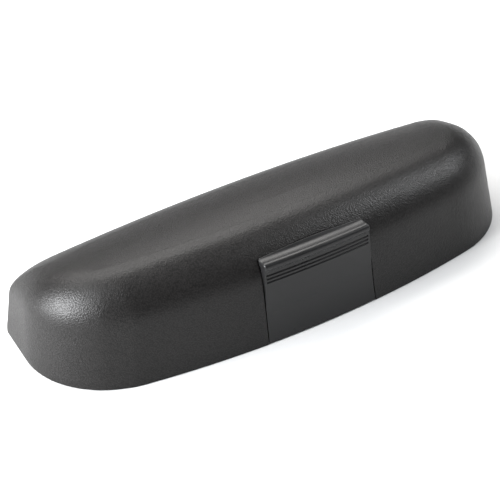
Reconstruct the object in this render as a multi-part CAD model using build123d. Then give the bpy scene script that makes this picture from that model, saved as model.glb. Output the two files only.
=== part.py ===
"""Hard spectacles case: a one-piece domed lid over a low tray, joined by a sprung hinge at the back
and held shut by a pivoting thumb latch at the front.

X runs along the case, -Y is the front, +Z is up.  The origin is the centre of the footprint
(hinge barrels included) on the resting plane.  Millimetres.
"""
from build123d import *
from math import atan2, cos, degrees, pi, radians, sin, sqrt, tan
import os

# ---------------------------------------------------------------- outline of the closed case
half_length = 85.0        # centre to either end, at the resting plane
front_y = -30.0           # front face at the middle, at the resting plane
back_y = 27.66            # flat back face, at the resting plane
height = 35.9             # crown of the dome
front_radius = 316.7      # plan radius of the long front face
front_corner = 32.6       # plan radius of the two front corners
front_corner_fall = 1.65  # how quickly the front corners tighten over the shoulder
back_corner = 3.5         # plan radius of the two back corners
back_corner_growth = 0.25 # how quickly the back corners ease over the shoulder
front_draft = 3.34        # degrees of draft on the front face
end_draft = 7.62          # degrees of draft on the ends
back_draft = 4.69         # degrees of draft on the back
shoulder_radius = 13.1    # rounding between the walls and the crown
crown_long = 4.42         # fall of the crown from the middle to the ends
crown_cross = 2.91        # fall of the crown over crown_reach across the case
crown_reach = 20.0
crown_y = -10.0           # y of the crown ridge
crown_start = 3.0         # height at which the walls begin to follow the crown
flat_scale = 0.12         # the top of the crown is flat, this share of the crown's size
flat_reach = 5.0

# ---------------------------------------------------------------- lid and tray
lid_wall = 2.4
lid_bottom = 0.2          # the lid skirt stops this far above the resting plane
parting_z = 12.0          # top of the tray wall
parting_gap = 0.4         # air between the tray and the lid's back wall
window_margin = 0.12      # the window in the lid's back is this much narrower than its inside
window_reach = 10.0       # the cutter for the window starts this far inside the back face
skirt_gap = 0.6           # air between the tray and the front of the lid skirt
end_gap = 1.3             # air between the tray and the ends of the lid skirt, at the resting plane
window_taper = 0.75       # how much more the window closes in towards its top than the ends do
tray_wall = 2.2
tray_back_wall = 3.0
tray_floor = 2.0
tray_back_corner = 2.2

# ---------------------------------------------------------------- hinges
hinge_y = 27.7
hinge_z = 12.0
barrel_radius = 2.3
barrel_clearance = 0.35   # air around a barrel in the other shell
hinge_start = 27.0        # x of the inner face of each hinge
hinge_length = 31.0
knuckle_length = 5.0
knuckle_gap = 0.3
hinge_pin_radius = 1.0
pin_held = 0.02           # radial air where a pin is held
pin_running = 0.08        # radial air where a part turns on a pin
pin_recess = 0.4          # pin ends stop this far inside the outer knuckles
hinge_coil_radius = 1.7   # mean radius
hinge_wire_radius = 0.3
hinge_turns = 11
hinge_coil_length = 8.4
hinge_leg = 7.0
leg_slot = 1.1            # width of the slots the spring legs lie in
lid_arm = [(29.6, 13.1), (26.1, 19.5), (24.9, 19.5), (25.5, 12.3)]   # (y, z) of the webs
tray_arm = [(29.6, 10.9), (27.6, 4.5), (26.0, 4.5), (25.5, 11.7)]    # that carry the knuckles
pad_depth = 2.0           # thickening of the lid wall behind the hinges
pad_top = 21.0

# ---------------------------------------------------------------- thumb latch
latch_half_foot = 19.2    # half width of the latch at the resting plane
latch_half_lip = 18.28    # half width at the lip
lip_z = 28.4
flush_top = 11.5          # below this the latch is flush with the front of the lid
band_y = -29.62           # front of the grooved band, just under the bead
band_top = 26.5
latch_bottom = 0.5
latch_gap = 0.3           # air between the sides of the latch and the notch in the lid
arch_gap = 0.2            # air behind the latch flange
latch_plate = 2.2
latch_sweep = 12.0        # degrees the section is swept before the sides are cut
bead = [(-30.12, 27.3), (-30.28, 28.1), (-29.95, 28.95), (-29.2, 29.3), (-28.4, 29.2)]    # (y, z)
bead_end_radius = 0.5     # rounding of the ends of the bead
flange = [(-27.3, 29.12), (-26.3, 29.25), (-25.5, 29.65), (-24.6, 30.4)]                  # (y, z)
flange_under = [(-24.6, 28.2), (-25.6, 27.3), (-26.7, 26.9), (-27.35, 26.0)]              # (y, z)
latch_axis_y = -26.6
latch_axis_z = 4.0
latch_pin_radius = 0.9
ear_radius = 2.0
ear_inner_x = 14.0
ear_width = 3.0
lug_inner_x = 17.3
lug_width = 1.8
lug_radius = 1.8
lug_clearance = 0.35
arch_middle_y = -25.0     # rear edge of the latch flange in the middle
arch_end_y = -25.5        # rear edge of the latch flange at its ends
groove_heights = (22.6, 23.87, 25.14)
groove_radius = 0.36
groove_half = 17.9
bay_back_y = -21.5        # back of the bay that houses the latch pin
bay_floor_z = 1.2
bay_roof_z = 10.2
bay_wall = 1.6
latch_coil_radius = 1.5
latch_wire_radius = 0.25
latch_turns = 9
latch_coil_length = 6.3
latch_leg = 6.0
coil_clearance = 0.35
coil_room_half = 4.6      # half length of the pocket the coil lies in

# ---------------------------------------------------------------- catch
leaf_half = 5.0
leaf_thickness = 0.4
rivet_radius = 0.8
rivet_head_radius = 1.4
rivet_head = 0.5
leaf_line = [(-26.6, 14.0), (-26.6, 20.0), (-25.2, 23.6), (-23.9, 24.4), (-22.9, 23.2)]   # (y, z)
leaf_rivet_x = 3.0
leaf_rivet_y = -28.45     # front end of the rivets that hold the leaf
leaf_rivet_z = 16.5
leaf_rivet_shank = 1.88
boss_half = 8.0
boss_front_y = -21.5
boss_depth = 3.0
boss_bottom = 24.6
keeper_half = 6.5
keeper_thickness = 0.7
keeper_top = 28.6
keeper_ledge_z = 22.0
keeper_ledge_y = -24.6
keeper_rivet_x = 4.0
keeper_rivet_z = 26.6
keeper_rivet_depth = 1.8

# ---------------------------------------------------------------- linings
liner_gap = 0.35          # air between a lining and the shell round it
liner_lift = 0.1          # air under the tray lining
felt = 1.2
tray_felt_top = 11.4
lid_felt_bottom = 22.5
lining_cut_half = 22.5    # the lid lining stops short of the latch and its catch
lining_cut_y = -17.5


def arc_points(cx, cy, radius, start, stop, count):
    steps = [start + (stop - start) * i / count for i in range(count + 1)]
    return [((cx + radius * cos(a), cy + radius * sin(a)), (-sin(a), cos(a))) for a in steps]


def line_points(first, last, count):
    dx = last[0] - first[0]
    dy = last[1] - first[1]
    length = sqrt(dx * dx + dy * dy)
    steps = [i / count for i in range(count + 1)]
    return [((first[0] + dx * s, first[1] + dy * s), (dx / length, dy / length)) for s in steps]


def outline(ends, front, back, inset, front_r, back_r):
    """Eight runs of (point, direction) round one plan outline, counter-clockwise from the front."""
    arc = front_radius - inset
    arc_y = front_y + front + arc
    corner_x = half_length - ends - front_r
    corner_y = arc_y - sqrt((arc - front_r) ** 2 - corner_x ** 2)
    swing = atan2(corner_y - arc_y, corner_x)
    rear = back_y - back
    front_run = arc_points(0, arc_y, arc, -pi - swing, swing, 12)
    right_corner = arc_points(corner_x, corner_y, front_r, swing, 0, 8)
    right_end = line_points((half_length - ends, corner_y), (half_length - ends, rear - back_r), 4)
    right_back = arc_points(half_length - ends - back_r, rear - back_r, back_r, 0, pi / 2, 6)
    back_run = line_points((half_length - ends - back_r, rear), (back_r + ends - half_length, rear), 8)
    right = [right_corner, right_end, right_back]
    left = [[((-p[0], p[1]), (d[0], -d[1])) for p, d in reversed(run)] for run in reversed(right)]
    return [front_run] + right + [back_run] + left


def crown_drop(x, y):
    return crown_long * (x / half_length) ** 2 + crown_cross * ((y - crown_y) / crown_reach) ** 2


def crown_slope(x, y, dx, dy):
    along = 2 * crown_long * x / half_length ** 2 * dx
    across = 2 * crown_cross * (y - crown_y) / crown_reach ** 2 * dy
    return along + across


def section(runs, z, share, scale=1.0, centre=0.0):
    """Closed wire of eight splines; share says how much of the crown's fall applies here."""
    edges = []
    for run in runs:
        points = []
        for (x, y), _ in run:
            px = x * scale
            py = centre + (y - centre) * scale
            points.append(Vector(px, py, z - share * crown_drop(px, py)))
        tangents = []
        for (x, y), (dx, dy) in (run[0], run[-1]):
            px = x * scale
            py = centre + (y - centre) * scale
            tangents.append(Vector(dx, dy, -share * crown_slope(px, py, dx, dy)))
        edges.append(Edge.make_spline(points, tangents=tangents))
    return Wire(edges)


def dome(inset, bottom):
    """Closed dome solid, every face set in by inset."""
    top = height - inset
    radius = shoulder_radius - inset
    base = top - radius
    levels = [(bottom + (base - bottom) * i / 7, 0.0) for i in range(7)]
    levels += [(base + radius * sin(pi / 2 * i / 7), radius * (1 - cos(pi / 2 * i / 7))) for i in range(8)]
    sections = []
    for z, roll in levels:
        ends = inset + z * tan(radians(end_draft)) + roll
        front = inset + z * tan(radians(front_draft)) + roll
        back = inset + z * tan(radians(back_draft)) + roll
        front_r = front_corner - inset - front_corner_fall * roll
        back_r = max(back_corner - inset, 1.0) + back_corner_growth * roll
        runs = outline(ends, front, back, inset + roll, front_r, back_r)
        sections.append(section(runs, z, max(0, (z - crown_start) / (top - crown_start))))
    for scale in (0.94, 0.86, 0.76, 0.64, 0.52, 0.41, 0.3, 0.2):
        sections.append(section(runs, top, 1.0, scale, crown_y))
    sections.append(section(runs, top - crown_drop(flat_reach, crown_y), 0.0, flat_scale, crown_y))
    return Solid.make_loft(sections)


def block(x0, x1, y0, y1, z0, z1):
    return Solid.make_box(x1 - x0, y1 - y0, z1 - z0, Plane((x0, y0, z0)))


def rod(x0, x1, y, z, radius):
    return Solid.make_cylinder(radius, x1 - x0, Plane(origin=(x0, y, z), z_dir=(1, 0, 0)))


def rod_y(x, y0, y1, z, radius):
    return Solid.make_cylinder(radius, y1 - y0, Plane(origin=(x, y0, z), z_dir=(0, 1, 0)))


def prism(points, x0, x1):
    """Solid between x0 and x1 with a (y, z) polygon for its section."""
    face = Face(Wire.make_polygon([(x0, y, z) for y, z in points], close=True))
    return Solid.extrude(face, Vector(x1 - x0, 0, 0))


def both_sides(shape):
    return [shape, shape.mirror(Plane.YZ)]


def straight_tray(inset, back, z0, z1, back_r):
    """Drafted block inside the lid skirt, flush with the back when back is zero."""
    sections = []
    for z in (z0, z1):
        ends = inset + end_gap - skirt_gap + z * tan(radians(end_draft))
        front = inset + z * tan(radians(front_draft))
        rear = back + z * tan(radians(back_draft))
        runs = outline(ends, front, rear, inset, front_corner - inset, back_r)
        sections.append(section(runs, z, 0.0))
    return Solid.make_loft(sections, ruled=True)


def hinge_spans():
    """x ranges along one hinge: tray knuckles, lid knuckles and the room for the spring."""
    end = hinge_start + hinge_length
    tray = [(hinge_start, hinge_start + knuckle_length), (end - knuckle_length, end)]
    step = knuckle_length + knuckle_gap
    lid = [(tray[0][1] + knuckle_gap, tray[0][1] + step), (tray[1][0] - step, tray[1][0] - knuckle_gap)]
    return tray, lid


def knuckle(span, arm):
    return rod(span[0], span[1], hinge_y, hinge_z, barrel_radius) + prism(arm, span[0], span[1])


def hinge_relief():
    """Room for the barrels of the other shell to turn in."""
    end = hinge_start + hinge_length + knuckle_gap
    return rod(hinge_start - knuckle_gap, end, hinge_y, hinge_z, barrel_radius + barrel_clearance)


def leg_slot_box(x, upward):
    """Slot in a back wall for one spring leg, leaning with the draft of the wall."""
    length = hinge_leg + 1.0
    half = leg_slot / 2
    inner = -hinge_coil_radius - hinge_wire_radius - 0.15
    low, high = (0, length) if upward else (-length, 0)
    slot = block(x - half, x + half, inner, 2.0, low, high)
    slot = slot.rotate(Axis.X, back_draft)
    return slot.translate(Vector(0, hinge_y, hinge_z))


def spring_x():
    middle = hinge_start + hinge_length / 2
    return middle - hinge_coil_length / 2, middle + hinge_coil_length / 2


def notch(gap, rear_gap):
    """Everything in front of the arched rear edge and between the sides of the latch."""
    slope = (latch_half_foot - latch_half_lip) / lip_z
    top = 45.0
    low = -1.0
    wide = latch_half_foot + gap - slope * low
    narrow = latch_half_foot + gap - slope * top
    far = front_y - 10
    corners = [(-wide, far, low), (wide, far, low), (narrow, far, top), (-narrow, far, top)]
    wedge = Solid.extrude(Face(Wire.make_polygon(corners, close=True)), Vector(0, -far, 0))
    side = latch_half_foot + 2
    rear_mid = arch_middle_y + rear_gap
    rear_end = arch_end_y + rear_gap
    edges = [
        Edge.make_three_point_arc((-side, rear_end, low), (0, rear_mid, low), (side, rear_end, low)),
        Edge.make_line((side, rear_end, low), (side, far, low)),
        Edge.make_line((side, far, low), (-side, far, low)),
        Edge.make_line((-side, far, low), (-side, rear_end, low)),
    ]
    plan = Solid.extrude(Face(Wire(edges)), Vector(0, 0, top - low))
    return wedge & plan


def lid_shell():
    shell = dome(0, lid_bottom) - dome(lid_wall, -1.0)
    slope = tan(radians(end_draft))
    window_top = parting_z + parting_gap
    foot = half_length - lid_wall - window_margin + slope
    head = half_length - lid_wall - window_margin - window_taper - window_top * slope
    start = back_y - window_reach
    corners = [(-foot, start, -1), (foot, start, -1), (head, start, window_top), (-head, start, window_top)]
    window = Face(Wire.make_polygon(corners, close=True))
    shell = shell - Solid.extrude(window, Vector(0, 2 * window_reach, 0))
    shell = shell - notch(latch_gap, arch_gap)
    tray_spans, lid_spans = hinge_spans()
    end = hinge_start + hinge_length
    inside = back_y - lid_wall - pad_top * tan(radians(back_draft))
    pad = block(hinge_start - 1, end + 1, inside - pad_depth, inside + 1.2, window_top, pad_top)
    relief = hinge_relief()
    for piece in both_sides(pad):
        shell = shell + piece
    for piece in both_sides(relief) + both_sides(leg_slot_box(spring_x()[0], True)):
        shell = shell - piece
    for span in lid_spans:
        for piece in both_sides(knuckle(span, lid_arm)):
            shell = shell + piece
    bore = rod(hinge_start, end, hinge_y, hinge_z, hinge_pin_radius + pin_running)
    for piece in both_sides(bore):
        shell = shell - piece
    boss = block(-boss_half, boss_half, boss_front_y, boss_front_y + boss_depth, boss_bottom, height)
    shell = shell + (boss & dome(lid_wall / 2, -1.0))
    hole_end = boss_front_y + keeper_rivet_depth + 0.1
    hole = rod_y(keeper_rivet_x, boss_front_y - 1, hole_end, keeper_rivet_z, rivet_radius + pin_held)
    for piece in both_sides(hole):
        shell = shell - piece
    return shell


def base_tray():
    inset = lid_wall + skirt_gap
    tray = straight_tray(inset, 0, 0, parting_z, tray_back_corner)
    inner = inset + tray_wall
    tray = tray - straight_tray(inner, tray_back_wall, tray_floor, parting_z + 1, tray_back_corner)
    side = lug_inner_x + bay_wall
    bay = block(-side, side, front_y + inset + 1.5, bay_back_y + bay_wall, 0, parting_z)
    cavity = block(-lug_inner_x, lug_inner_x, front_y - 5, bay_back_y, bay_floor_z, bay_roof_z)
    tray = tray + bay - cavity
    lug_end = lug_inner_x + lug_width
    lug_low = latch_axis_z - lug_radius
    lug_high = latch_axis_z + lug_radius
    lug = rod(lug_inner_x, lug_end, latch_axis_y, latch_axis_z, lug_radius)
    lug = lug + block(lug_inner_x, lug_end, latch_axis_y, bay_back_y, lug_low, lug_high)
    for piece in both_sides(lug):
        tray = tray + piece
    pin_hole = rod(-side - 0.2, side + 0.2, latch_axis_y, latch_axis_z, latch_pin_radius + pin_held)
    tray = tray - pin_hole
    tray_spans, lid_spans = hinge_spans()
    end = hinge_start + hinge_length
    relief = hinge_relief()
    for piece in both_sides(relief) + both_sides(leg_slot_box(spring_x()[1], False)):
        tray = tray - piece
    for span in tray_spans:
        for piece in both_sides(knuckle(span, tray_arm)):
            tray = tray + piece
    bore = rod(hinge_start - 1, end + 1, hinge_y, hinge_z, hinge_pin_radius + pin_held)
    for piece in both_sides(bore):
        tray = tray - piece
    return tray


def latch_profile():
    """Section of the latch at the middle, in (y, z)."""
    foot = front_y + latch_bottom * tan(radians(front_draft))
    flush = front_y + flush_top * tan(radians(front_draft))
    line_1 = Edge.make_line((0, foot, latch_bottom), (0, flush, flush_top))
    line_2 = Edge.make_line((0, flush, flush_top), (0, band_y, band_top))
    lip = Edge.make_spline([(0, y, z) for y, z in [(band_y, band_top)] + bead])
    top = Edge.make_spline([(0, y, z) for y, z in [bead[-1]] + flange])
    back = [flange[-1]] + flange_under
    back += [(flush + latch_plate, flush_top), (foot + latch_plate, latch_bottom), (foot, latch_bottom)]
    lines = [Edge.make_line((0, *a), (0, *b)) for a, b in zip(back[:-1], back[1:])]
    return Face(Wire([line_1, line_2, lip, top] + lines))


def plan_axis():
    return Axis((0, front_y + front_radius, 0), (0, 0, 1))


def latch_tongue():
    face = latch_profile().rotate(plan_axis(), -latch_sweep / 2)
    tongue = Solid.revolve(face, latch_sweep, plan_axis())
    tongue = tongue & notch(0, 0)
    ends = [e for e in tongue.edges() if abs(e.center().X) > latch_half_lip - 0.8 and e.length > 0.4]
    ends = [e for e in ends if e.center().Z > band_top - 0.2 and e.center().Y < arch_middle_y]
    tongue = tongue.fillet(bead_end_radius, ends)
    for z in groove_heights:
        lean = (z - flush_top) / (band_top - flush_top)
        y = (front_y + flush_top * tan(radians(front_draft))) * (1 - lean) + band_y * lean
        ring = Face(Wire(Edge.make_circle(groove_radius, Plane(origin=(0, y, z), z_dir=(1, 0, 0)))))
        turn = degrees(groove_half / front_radius)
        groove = Solid.revolve(ring.rotate(plan_axis(), -turn), 2 * turn, plan_axis())
        tongue = tongue - groove
    room = latch_coil_radius + latch_wire_radius + coil_clearance
    tongue = tongue - rod(-coil_room_half, coil_room_half, latch_axis_y, latch_axis_z, room)
    outside = latch_half_foot + 3
    pocket = rod(lug_inner_x - latch_gap, outside, latch_axis_y, latch_axis_z, lug_radius + lug_clearance)
    for piece in both_sides(pocket):
        tongue = tongue - piece
    ear_end = ear_inner_x + ear_width
    ear_low = latch_axis_z - ear_radius
    ear_high = latch_axis_z + ear_radius
    ear = rod(ear_inner_x, ear_end, latch_axis_y, latch_axis_z, ear_radius)
    ear = ear + block(ear_inner_x, ear_end, latch_axis_y - ear_radius, latch_axis_y, ear_low, ear_high)
    for piece in both_sides(ear):
        tongue = tongue + piece
    bore = rod(-lug_inner_x, lug_inner_x, latch_axis_y, latch_axis_z, latch_pin_radius + pin_running)
    tongue = tongue - bore
    hole_end = leaf_rivet_y - 0.1
    hole = rod_y(leaf_rivet_x, hole_end, arch_middle_y, leaf_rivet_z, rivet_radius + pin_held)
    for piece in both_sides(hole):
        tongue = tongue - piece
    return tongue


def coil(x0, length, y, z, radius, wire, turns, start_angle):
    """Helical wire round an axis along X."""
    start_dir = (0, cos(radians(start_angle)), sin(radians(start_angle)))
    plane = Plane(origin=(x0, y, z), x_dir=start_dir, z_dir=(1, 0, 0))
    path = Edge.make_helix(length / turns, length, radius)
    start = path.position_at(0)
    circle = Face(Wire(Edge.make_circle(wire, Plane(origin=start, z_dir=path.tangent_at(0)))))
    return Solid.sweep(circle, path, is_frenet=True).moved(plane.location)


def wire_leg(start, direction, length, wire):
    leg = Solid.make_cylinder(wire, length, Plane(origin=start, z_dir=direction))
    joint = Solid.make_sphere(1.06 * wire, angle1=-90, angle2=90, angle3=360)
    return leg + joint.translate(Vector(*start))


def hinge_spring():
    x0, x1 = spring_x()
    radius = hinge_coil_radius
    wound = coil(x0, hinge_coil_length, hinge_y, hinge_z, radius, hinge_wire_radius, hinge_turns, 180)
    lean = tan(radians(back_draft))
    inner = hinge_y - hinge_coil_radius
    wound = wound + wire_leg((x0, inner, hinge_z), (0, -lean, 1), hinge_leg, hinge_wire_radius)
    return wound + wire_leg((x1, inner, hinge_z), (0, lean, -1), hinge_leg, hinge_wire_radius)


def latch_spring():
    x0 = -latch_coil_length / 2
    radius = latch_coil_radius
    wire = latch_wire_radius
    wound = coil(x0, latch_coil_length, latch_axis_y, latch_axis_z, radius, wire, latch_turns, 0)
    rear = latch_axis_y + latch_coil_radius
    wound = wound + wire_leg((x0, rear, latch_axis_z), (0, 0.6, 1), latch_leg * 0.9, latch_wire_radius)
    wound = wound + wire_leg((-x0, rear, latch_axis_z), (0, -0.3, 1), latch_leg, latch_wire_radius)
    return wound


def catch_leaf():
    """Sprung strip riveted to the back of the latch; its nose rests over the keeper."""
    t = leaf_thickness
    shifts = [(-t, 0), (-t, 0), (-0.75 * t, t), (0.25 * t, t), (t, 0)]
    other = [(y + dy, z + dz) for (y, z), (dy, dz) in zip(leaf_line, shifts)]
    strip = prism(leaf_line + other[::-1], -leaf_half, leaf_half)
    hole = rod_y(leaf_rivet_x, front_y, arch_middle_y, leaf_rivet_z, rivet_radius + pin_held)
    for piece in both_sides(hole):
        strip = strip - piece
    return strip


def rivet(x, y0, z, depth, head_side):
    shank = rod_y(x, y0, y0 + depth, z, rivet_radius)
    head_y = y0 + depth if head_side > 0 else y0 - rivet_head
    return shank + rod_y(x, head_y, head_y + rivet_head, z, rivet_head_radius)


def lid_keeper():
    front = boss_front_y - keeper_thickness - 0.05
    back = front + keeper_thickness
    ledge_top = keeper_ledge_z + keeper_thickness
    plate = block(-keeper_half, keeper_half, front, back, keeper_ledge_z, keeper_top)
    keeper = plate + block(-keeper_half, keeper_half, keeper_ledge_y, back, keeper_ledge_z, ledge_top)
    hole = rod_y(keeper_rivet_x, front - 1, front + 2, keeper_rivet_z, rivet_radius + pin_held)
    for piece in both_sides(hole):
        keeper = keeper - piece
    return keeper


def hinge_pin():
    end = hinge_start + hinge_length
    return rod(hinge_start + pin_recess, end - pin_recess, hinge_y, hinge_z, hinge_pin_radius)


def latch_pin():
    side = lug_inner_x + lug_width
    return rod(-side, side, latch_axis_y, latch_axis_z, latch_pin_radius)


def tray_liner():
    inset = lid_wall + skirt_gap + tray_wall + liner_gap
    back = tray_back_wall + liner_gap
    low = tray_floor + liner_lift
    felt_tray = straight_tray(inset, back, low, tray_felt_top, tray_back_corner)
    hollow = straight_tray(inset + felt, back + felt, low + felt, tray_felt_top + 1, tray_back_corner)
    felt_tray = felt_tray - hollow
    side = lug_inner_x + bay_wall + liner_gap + 0.3
    return felt_tray - block(-side, side, front_y, bay_back_y + bay_wall + liner_gap + 0.1, 0, height)


def lid_liner():
    outer = lid_wall + liner_gap
    shell = dome(outer, -1.0) - dome(outer + felt, -2.0)
    shell = shell - block(-half_length, half_length, front_y, back_y, -2, lid_felt_bottom)
    return shell - block(-lining_cut_half, lining_cut_half, front_y - 5, lining_cut_y, -2, height)


def save(shape, name):
    solids = shape.solids()
    assert len(solids) == 1, (name, len(solids))
    export_step(solids[0], "parts/" + name + ".step")
    print(name, round(solids[0].volume, 1), solids[0].is_valid)


os.makedirs("parts", exist_ok=True)
save(lid_shell(), "lid_shell")
save(base_tray(), "base_tray")
save(latch_tongue(), "latch_tongue")
save(latch_pin(), "latch_pin")
save(latch_spring(), "latch_spring")
save(catch_leaf(), "catch_leaf")
save(lid_keeper(), "lid_keeper")
save(tray_liner(), "tray_liner")
save(lid_liner(), "lid_liner")
pin = hinge_pin()
spring = hinge_spring()
leaf_rivet = rivet(leaf_rivet_x, leaf_rivet_y, leaf_rivet_z, leaf_rivet_shank, 1)
keeper_face = boss_front_y - keeper_thickness - 0.1
keeper_rivet = rivet(keeper_rivet_x, keeper_face, keeper_rivet_z, keeper_rivet_depth, -1)
pairs = {"hinge_pin": pin, "hinge_spring": spring, "leaf_rivet": leaf_rivet, "keeper_rivet": keeper_rivet}
for name, shape in pairs.items():
    save(shape, name + "_right")
    save(shape.mirror(Plane.YZ), name + "_left")
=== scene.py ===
"""Looks of the spectacles case: moulded grain, satin latch, bright steel fittings and felt linings."""

import math

import bmesh
import bpy
from mathutils import Matrix, Vector, noise


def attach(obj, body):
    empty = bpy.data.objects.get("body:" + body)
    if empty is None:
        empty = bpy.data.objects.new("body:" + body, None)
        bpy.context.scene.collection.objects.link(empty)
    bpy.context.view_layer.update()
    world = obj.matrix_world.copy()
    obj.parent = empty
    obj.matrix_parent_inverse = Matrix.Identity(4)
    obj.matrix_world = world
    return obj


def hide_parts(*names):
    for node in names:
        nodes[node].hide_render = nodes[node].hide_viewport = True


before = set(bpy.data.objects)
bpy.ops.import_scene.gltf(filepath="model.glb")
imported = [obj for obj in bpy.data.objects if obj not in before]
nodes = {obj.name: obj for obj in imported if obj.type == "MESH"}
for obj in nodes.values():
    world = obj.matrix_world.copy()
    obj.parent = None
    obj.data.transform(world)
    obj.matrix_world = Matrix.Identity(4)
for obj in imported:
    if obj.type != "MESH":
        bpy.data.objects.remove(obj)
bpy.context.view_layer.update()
scene = bpy.context.scene
MM = 0.001
NOISE_LOW, NOISE_HIGH = 0.3, 0.7  # most values of a noise texture lie between these


# ---------------------------------------------------------------- node helpers
class Shader:
    """A material's node tree with short calls to add and join nodes."""

    def __init__(self, name):
        self.mat = bpy.data.materials.new(name)
        self.mat.use_nodes = True
        self.tree = self.mat.node_tree
        self.tree.nodes.clear()
        self.out = self.add("ShaderNodeOutputMaterial")
        self.bsdf = self.add("ShaderNodeBsdfPrincipled")
        self.link(self.bsdf, "BSDF", self.out, "Surface")
        self.coords = self.add("ShaderNodeTexCoord")

    def add(self, kind, **props):
        node = self.tree.nodes.new(kind)
        for key, value in props.items():
            setattr(node, key, value)
        return node

    def link(self, a, out, b, into):
        self.tree.links.new(a.outputs[out], b.inputs[into])

    def set(self, **values):
        for key, value in values.items():
            self.bsdf.inputs[key.replace("_", " ")].default_value = value

    def noise(self, scale, detail, rough):
        tex = self.add("ShaderNodeTexNoise")
        tex.inputs["Scale"].default_value = scale
        tex.inputs["Detail"].default_value = detail
        tex.inputs["Roughness"].default_value = rough
        self.link(self.coords, "Object", tex, "Vector")
        return tex

    def rounded_cells(self, scale, smoothness):
        tex = self.add("ShaderNodeTexVoronoi", feature="SMOOTH_F1")
        tex.inputs["Scale"].default_value = scale
        tex.inputs["Smoothness"].default_value = smoothness
        self.link(self.coords, "Object", tex, "Vector")
        return tex

    def ramp(self, source, out, stops):
        node = self.add("ShaderNodeValToRGB")
        first, last = node.color_ramp.elements
        first.position, first.color = stops[0][0], (*stops[0][1], 1)
        last.position, last.color = stops[-1][0], (*stops[-1][1], 1)
        for position, colour in stops[1:-1]:
            node.color_ramp.elements.new(position).color = (*colour, 1)
        self.link(source, out, node, "Fac")
        return node

    def span(self, source, out, low, high):
        """Maps a noise onto low to high."""
        node = self.add("ShaderNodeMapRange")
        node.inputs["From Min"].default_value = NOISE_LOW
        node.inputs["From Max"].default_value = NOISE_HIGH
        node.inputs["To Min"].default_value = low
        node.inputs["To Max"].default_value = high
        self.link(source, out, node, "Value")
        return node

    def math(self, operation, a, b):
        node = self.add("ShaderNodeMath", operation=operation)
        for index, value in enumerate((a, b)):
            if isinstance(value, (int, float)):
                node.inputs[index].default_value = value
            else:
                self.tree.links.new(value, node.inputs[index])
        return node

    def bump(self, height, distance, normal=None):
        node = self.add("ShaderNodeBump")
        node.inputs["Strength"].default_value = 1.0
        node.inputs["Distance"].default_value = distance
        self.tree.links.new(height, node.inputs["Height"])
        if normal is not None:
            self.tree.links.new(normal, node.inputs["Normal"])
        return node

    def soft_edges(self, radius):
        node = self.add("ShaderNodeBevel", samples=8)
        node.inputs["Radius"].default_value = radius
        return node


# ---------------------------------------------------------------- materials
def grained_plastic(name, shade, grain_height):
    """Black moulded plastic with a fine eroded leather grain, a shade lighter in its hollows."""
    s = Shader(name)
    cells = s.rounded_cells(2300, 0.4)
    fine = s.noise(3200, 4.0, 0.6)
    broad = s.noise(1100, 3.0, 0.6)
    tone = s.noise(28, 3.0, 0.6)
    patches = s.math("MULTIPLY", tone.outputs["Fac"], 0.4)
    speckle = s.math("ADD", cells.outputs["Distance"], patches.outputs[0])
    hollow = tuple(c * 1.5 for c in shade)
    border = tuple(c * 0.55 for c in shade)
    colour = s.ramp(speckle, "Value", [(0.35, hollow), (0.9, border)])
    s.link(colour, "Color", s.bsdf, "Base Color")
    height = s.math("MULTIPLY", cells.outputs["Distance"], 0.75)
    for layer, share in ((fine, 0.55), (broad, 0.5)):
        part = s.math("MULTIPLY", layer.outputs["Fac"], share)
        height = s.math("ADD", height.outputs[0], part.outputs[0])
    rough = s.span(broad, "Fac", 0.33, 0.42)
    s.link(rough, "Result", s.bsdf, "Roughness")
    edges = s.soft_edges(0.25 * MM)
    bump = s.bump(height.outputs[0], grain_height, edges.outputs["Normal"])
    s.link(bump, "Normal", s.bsdf, "Normal")
    s.set(IOR=1.5, Specular_IOR_Level=0.22)
    return s.mat


def satin_plastic(name, shade):
    """Smooth black plastic, faintly uneven from the tool, with light handling wear."""
    s = Shader(name)
    smear = s.noise(90, 4.0, 0.6)
    fine = s.noise(3000, 2.0, 0.5)
    tone = s.noise(40, 2.0, 0.5)
    low = tuple(c * 0.92 for c in shade)
    high = tuple(c * 1.1 for c in shade)
    colour = s.ramp(tone, "Fac", [(0.3, low), (0.7, high)])
    s.link(colour, "Color", s.bsdf, "Base Color")
    rough = s.span(smear, "Fac", 0.26, 0.38)
    s.link(rough, "Result", s.bsdf, "Roughness")
    edges = s.soft_edges(0.22 * MM)
    bump = s.bump(fine.outputs["Fac"], 0.004 * MM, edges.outputs["Normal"])
    s.link(bump, "Normal", s.bsdf, "Normal")
    s.set(IOR=1.5, Specular_IOR_Level=0.28)
    return s.mat


def drawn_steel(name, shade, along, roughness):
    """Bright steel with fine marks along one direction."""
    s = Shader(name)
    stretch = s.add("ShaderNodeMapping")
    stretch.inputs["Scale"].default_value = along
    s.link(s.coords, "Object", stretch, "Vector")
    marks = s.add("ShaderNodeTexNoise")
    marks.inputs["Scale"].default_value = 1.0
    marks.inputs["Detail"].default_value = 4.0
    s.link(stretch, "Vector", marks, "Vector")
    tone = s.noise(300, 3.0, 0.6)
    low = tuple(c * 0.8 for c in shade)
    colour = s.ramp(tone, "Fac", [(0.35, low), (0.65, shade)])
    s.link(colour, "Color", s.bsdf, "Base Color")
    rough = s.span(marks, "Fac", roughness * 0.75, roughness * 1.25)
    s.link(rough, "Result", s.bsdf, "Roughness")
    edges = s.soft_edges(0.08 * MM)
    bump = s.bump(marks.outputs["Fac"], 0.006 * MM, edges.outputs["Normal"])
    s.link(bump, "Normal", s.bsdf, "Normal")
    s.set(Metallic=1.0)
    return s.mat


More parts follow.
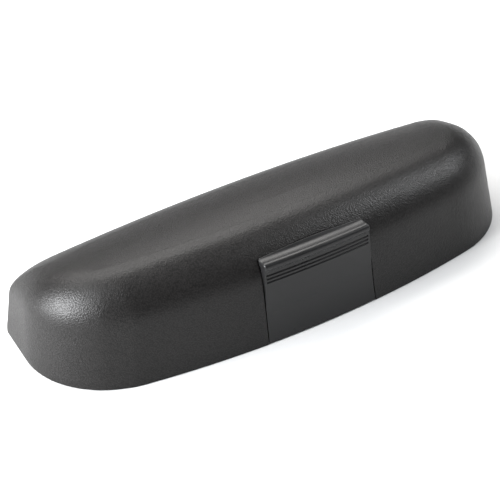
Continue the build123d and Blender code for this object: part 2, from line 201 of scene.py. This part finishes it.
def felt_material(name, shade):
    """Short-pile felt: tangled fibres, soft sheen, faint pressed patches."""
    s = Shader(name)
    fibres = s.noise(2200, 6.0, 0.75)
    tufts = s.noise(700, 4.0, 0.6)
    pressed = s.noise(60, 3.0, 0.5)
    low = tuple(c * 0.6 for c in shade)
    high = tuple(c * 1.5 for c in shade)
    colour = s.ramp(fibres, "Fac", [(0.3, low), (0.52, shade), (0.72, high)])
    s.link(colour, "Color", s.bsdf, "Base Color")
    rough = s.span(pressed, "Fac", 0.85, 1.0)
    s.link(rough, "Result", s.bsdf, "Roughness")
    tall_tufts = s.math("MULTIPLY", tufts.outputs["Fac"], 1.2)
    height = s.math("ADD", fibres.outputs["Fac"], tall_tufts.outputs[0])
    bump = s.bump(height.outputs[0], 0.22 * MM)
    s.link(bump, "Normal", s.bsdf, "Normal")
    s.set(Sheen_Weight=0.6, Sheen_Roughness=0.45, Specular_IOR_Level=0.2)
    return s.mat


shell = grained_plastic("lid_grain", (0.0098, 0.0092, 0.009), 0.1 * MM)
tray = grained_plastic("tray_grain", (0.0115, 0.0112, 0.0111), 0.08 * MM)
latch = satin_plastic("latch_satin", (0.0095, 0.0095, 0.0098))
pin_steel = drawn_steel("pin_steel", (0.62, 0.62, 0.63), (200, 9000, 9000), 0.25)
spring_steel = drawn_steel("spring_wire", (0.42, 0.42, 0.44), (6000, 6000, 6000), 0.3)
strip_steel = drawn_steel("strip_steel", (0.6, 0.6, 0.61), (9000, 400, 400), 0.28)
rivet_steel = drawn_steel("rivet_steel", (0.58, 0.58, 0.59), (5000, 5000, 5000), 0.3)
felt = felt_material("felt", (0.035, 0.035, 0.038))


def give(name, mat):
    mesh = nodes[name].data
    mesh.materials.clear()
    mesh.materials.append(mat)


give("lid_shell", shell)
give("base_tray", tray)
give("latch_tongue", latch)
for side in ("left", "right"):
    give("hinge_pin_" + side, pin_steel)
    give("hinge_spring_" + side, spring_steel)
    give("leaf_rivet_" + side, rivet_steel)
    give("keeper_rivet_" + side, rivet_steel)
give("latch_pin", pin_steel)
give("latch_spring", spring_steel)
give("catch_leaf", strip_steel)
give("lid_keeper", strip_steel)


# ---------------------------------------------------------------- felt linings
FELT_VOXEL = 0.55 * MM
FELT_NAP = 0.1 * MM
NAP_SCALE = 420  # both scales are per metre
WAVE_SCALE = 45


def felt_piece(name, node, body, seed):
    """A felt lining in the room of its plain solid, with rounded edges and an uneven nap."""
    mesh = nodes[node].data.copy()
    piece = bpy.data.objects.new(name, mesh)
    scene.collection.objects.link(piece)
    remesh = piece.modifiers.new("remesh", "REMESH")
    remesh.mode = "VOXEL"
    remesh.voxel_size = FELT_VOXEL
    remesh.use_smooth_shade = True
    smooth = piece.modifiers.new("smooth", "SMOOTH")
    smooth.factor = 0.5
    smooth.iterations = 3
    depsgraph = bpy.context.evaluated_depsgraph_get()
    solid = bpy.data.meshes.new_from_object(piece.evaluated_get(depsgraph))
    piece.modifiers.clear()
    piece.data = solid
    bm = bmesh.new()
    bm.from_mesh(solid)
    bm.normal_update()
    offset = Vector((seed, seed * 0.5, -seed))
    moves = []
    for vert in bm.verts:
        nap = noise.fractal(vert.co * NAP_SCALE + offset, 0.9, 2.0, 3)
        wave = noise.noise(vert.co * WAVE_SCALE + offset)
        rise = FELT_NAP * (0.7 * nap + 0.6 * wave) - FELT_NAP * 0.4
        moves.append((vert, vert.normal * rise))
    for vert, move in moves:
        vert.co += move
    bm.to_mesh(solid)
    bm.free()
    for poly in solid.polygons:
        poly.use_smooth = True
    solid.materials.clear()
    solid.materials.append(felt)
    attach(piece, body)
    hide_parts(node)


felt_piece("tray_lining", "tray_liner", "base", 3.1)
felt_piece("lid_lining", "lid_liner", "lid", 7.7)


# ---------------------------------------------------------------- stage
def floor():
    """Light grey paper, lit until it shows as white."""
    mesh = bpy.data.meshes.new("floor")
    bm = bmesh.new()
    bmesh.ops.create_grid(bm, x_segments=24, y_segments=24, size=3.0)
    bm.to_mesh(mesh)
    bm.free()
    plane = bpy.data.objects.new("floor", mesh)
    scene.collection.objects.link(plane)
    s = Shader("sweep_paper")
    tone = s.noise(3.0, 2.0, 0.5)
    colour = s.ramp(tone, "Fac", [(0.3, (0.54, 0.54, 0.54)), (0.7, (0.56, 0.56, 0.56))])
    s.link(colour, "Color", s.bsdf, "Base Color")
    s.set(Roughness=0.9, Specular_IOR_Level=0.1)
    mesh.materials.append(s.mat)


WARM_WHITE = (1.0, 0.985, 0.965)
COOL_WHITE = (0.97, 0.985, 1.0)


def softbox(name, place, aim, width, height, power, colour):
    """A rectangular lamp; places and sizes in metres, power in watts."""
    data = bpy.data.lights.new(name, "AREA")
    data.shape = "RECTANGLE"
    data.size = width
    data.size_y = height
    data.energy = power
    data.color = colour
    lamp = bpy.data.objects.new(name, data)
    scene.collection.objects.link(lamp)
    lamp.location = place
    lamp.rotation_euler = (Vector(aim) - Vector(place)).to_track_quat("-Z", "Y").to_euler()


floor()
softbox("overhead", (0.0, 0.6, 0.95), (0, 0, 0), 1.4, 0.8, 24, WARM_WHITE)
softbox("left_window", (-0.95, 0.05, 0.3), (0, 0, 0.02), 0.5, 0.4, 38, COOL_WHITE)
softbox("left_high", (-0.6, -0.12, 0.8), (0, 0, 0.02), 0.2, 0.2, 4.2, COOL_WHITE)
softbox("right_window", (0.75, -0.3, 0.65), (0.03, 0, 0.02), 0.25, 0.25, 8, COOL_WHITE)

world = bpy.data.worlds.new("studio")
scene.world = world
world.use_nodes = True
background = world.node_tree.nodes["Background"]
background.inputs["Color"].default_value = (0.93, 0.96, 1.0, 1)
background.inputs["Strength"].default_value = 0.14
scene.view_settings.view_transform = "Standard"
scene.view_settings.look = "None"


# ---------------------------------------------------------------- camera
def camera(azimuth, elevation, roll, distance, lens, target):
    """Camera in front and to the left, looking down at the case; angles in degrees, lens in mm."""
    az = math.radians(azimuth)
    el = math.radians(elevation)
    back = Vector((math.sin(az) * math.cos(el), -math.cos(az) * math.cos(el), math.sin(el)))
    right = Vector((math.cos(az), math.sin(az), 0))
    up = back.cross(right)
    c = math.cos(math.radians(roll))
    s = math.sin(math.radians(roll))
    right, up = c * right + s * up, c * up - s * right
    data = bpy.data.cameras.new("camera")
    data.lens = lens
    data.sensor_width = 36
    data.clip_start = 0.01
    data.shift_x = -0.001
    data.shift_y = 0.001
    cam = bpy.data.objects.new("camera", data)
    scene.collection.objects.link(cam)
    turn = Matrix((right, up, back)).transposed().to_4x4()
    cam.matrix_world = Matrix.Translation(Vector(target) + back * distance) @ turn
    scene.camera = cam


camera(
    azimuth=-25.28,
    elevation=34.59,
    roll=-6.28,
    distance=395.03 * MM,
    lens=92.10,
    target=(-13.08 * MM, -10 * MM, 21.66 * MM),
)
